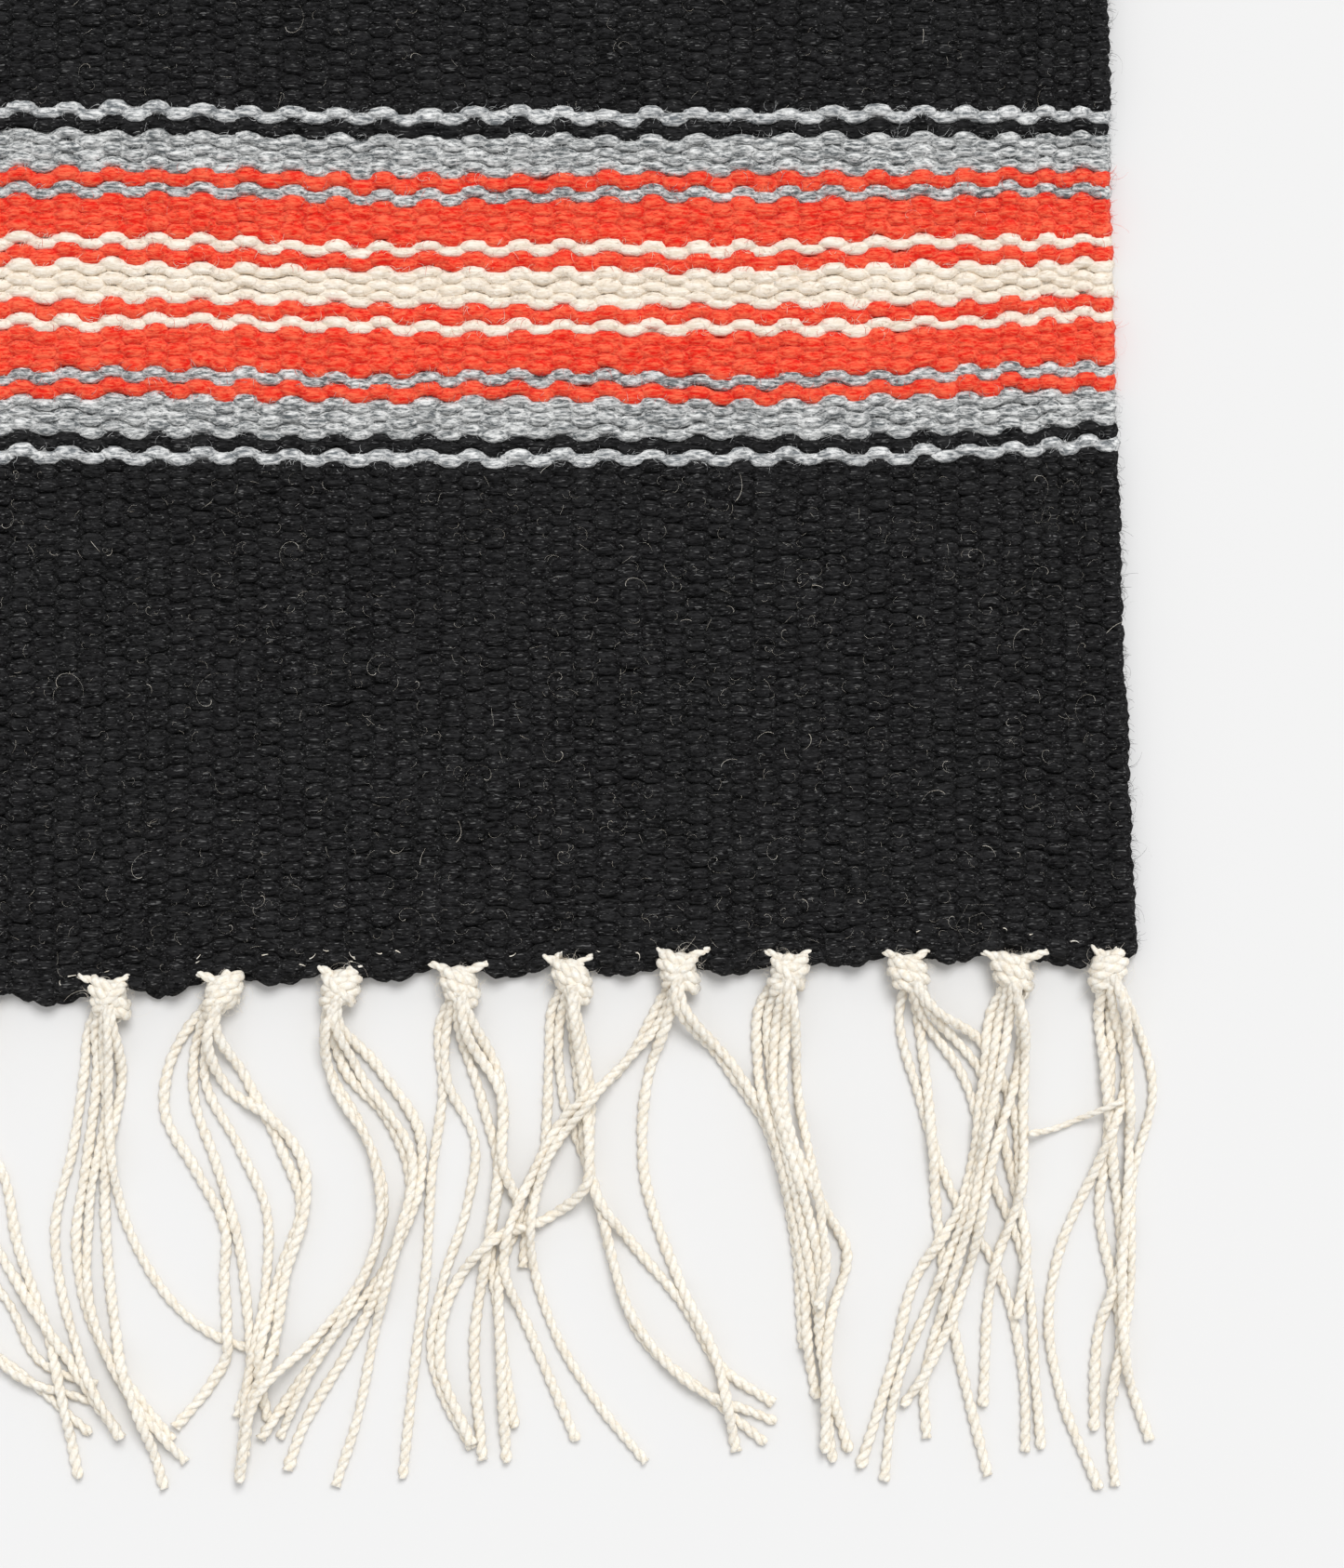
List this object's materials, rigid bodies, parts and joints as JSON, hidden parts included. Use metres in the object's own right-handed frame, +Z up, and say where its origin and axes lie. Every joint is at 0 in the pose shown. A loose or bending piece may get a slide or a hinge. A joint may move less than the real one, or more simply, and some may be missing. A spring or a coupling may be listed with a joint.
{
  "type": "runner rug",
  "caption": "Long flat-woven wool rug, black with a striped border near each end, its warp cords tied in knots and left as a fringe.",
  "frame": {"origin": "middle of the underside, on the floor that the rug lies on", "axes": "+Y along the rug's length, +X across its width, +Z up out of the face that is walked on"},
  "size_m": [0.762, 2.6374, 0.0074],
  "materials": {
    "black_wool": "matte",
    "light_grey_wool": "matte",
    "grey_wool": "matte",
    "red_wool": "matte",
    "ivory_wool": "matte",
    "warp_cord": "matte"
  },
  "bodies": {
    "root": {"far_end_band_black": "black_wool", "far_fringe": "warp_cord", "far_knots": "warp_cord", "far_stripe_01_light_grey_line": "light_grey_wool", "far_stripe_02_black_line": "black_wool", "far_stripe_03_grey_band": "grey_wool", "far_stripe_04_red_line": "red_wool", "far_stripe_05_grey_line": "grey_wool", "far_stripe_06_red_band": "red_wool", "far_stripe_07_ivory_line": "ivory_wool", "far_stripe_08_red_line": "red_wool", "far_stripe_09_ivory_band": "ivory_wool", "far_stripe_10_red_line": "red_wool", "far_stripe_11_ivory_line": "ivory_wool", "far_stripe_12_red_band": "red_wool", "far_stripe_13_grey_line": "grey_wool", "far_stripe_14_red_line": "red_wool", "far_stripe_15_grey_band": "grey_wool", "far_stripe_16_black_line": "black_wool", "far_stripe_17_light_grey_line": "light_grey_wool", "main_field_black": "black_wool", "near_end_band_black": "black_wool", "near_fringe": "warp_cord", "near_knots": "warp_cord", "near_stripe_01_light_grey_line": "light_grey_wool", "near_stripe_02_black_line": "black_wool", "near_stripe_03_grey_band": "grey_wool", "near_stripe_04_red_line": "red_wool", "near_stripe_05_grey_line": "grey_wool", "near_stripe_06_red_band": "red_wool", "near_stripe_07_ivory_line": "ivory_wool", "near_stripe_08_red_line": "red_wool", "near_stripe_09_ivory_band": "ivory_wool", "near_stripe_10_red_line": "red_wool", "near_stripe_11_ivory_line": "ivory_wool", "near_stripe_12_red_band": "red_wool", "near_stripe_13_grey_line": "grey_wool", "near_stripe_14_red_line": "red_wool", "near_stripe_15_grey_band": "grey_wool", "near_stripe_16_black_line": "black_wool", "near_stripe_17_light_grey_line": "light_grey_wool", "selvedge_cord_left": "warp_cord", "selvedge_cord_right": "warp_cord", "warp_cords": "warp_cord"}
  },
  "joints": []
}
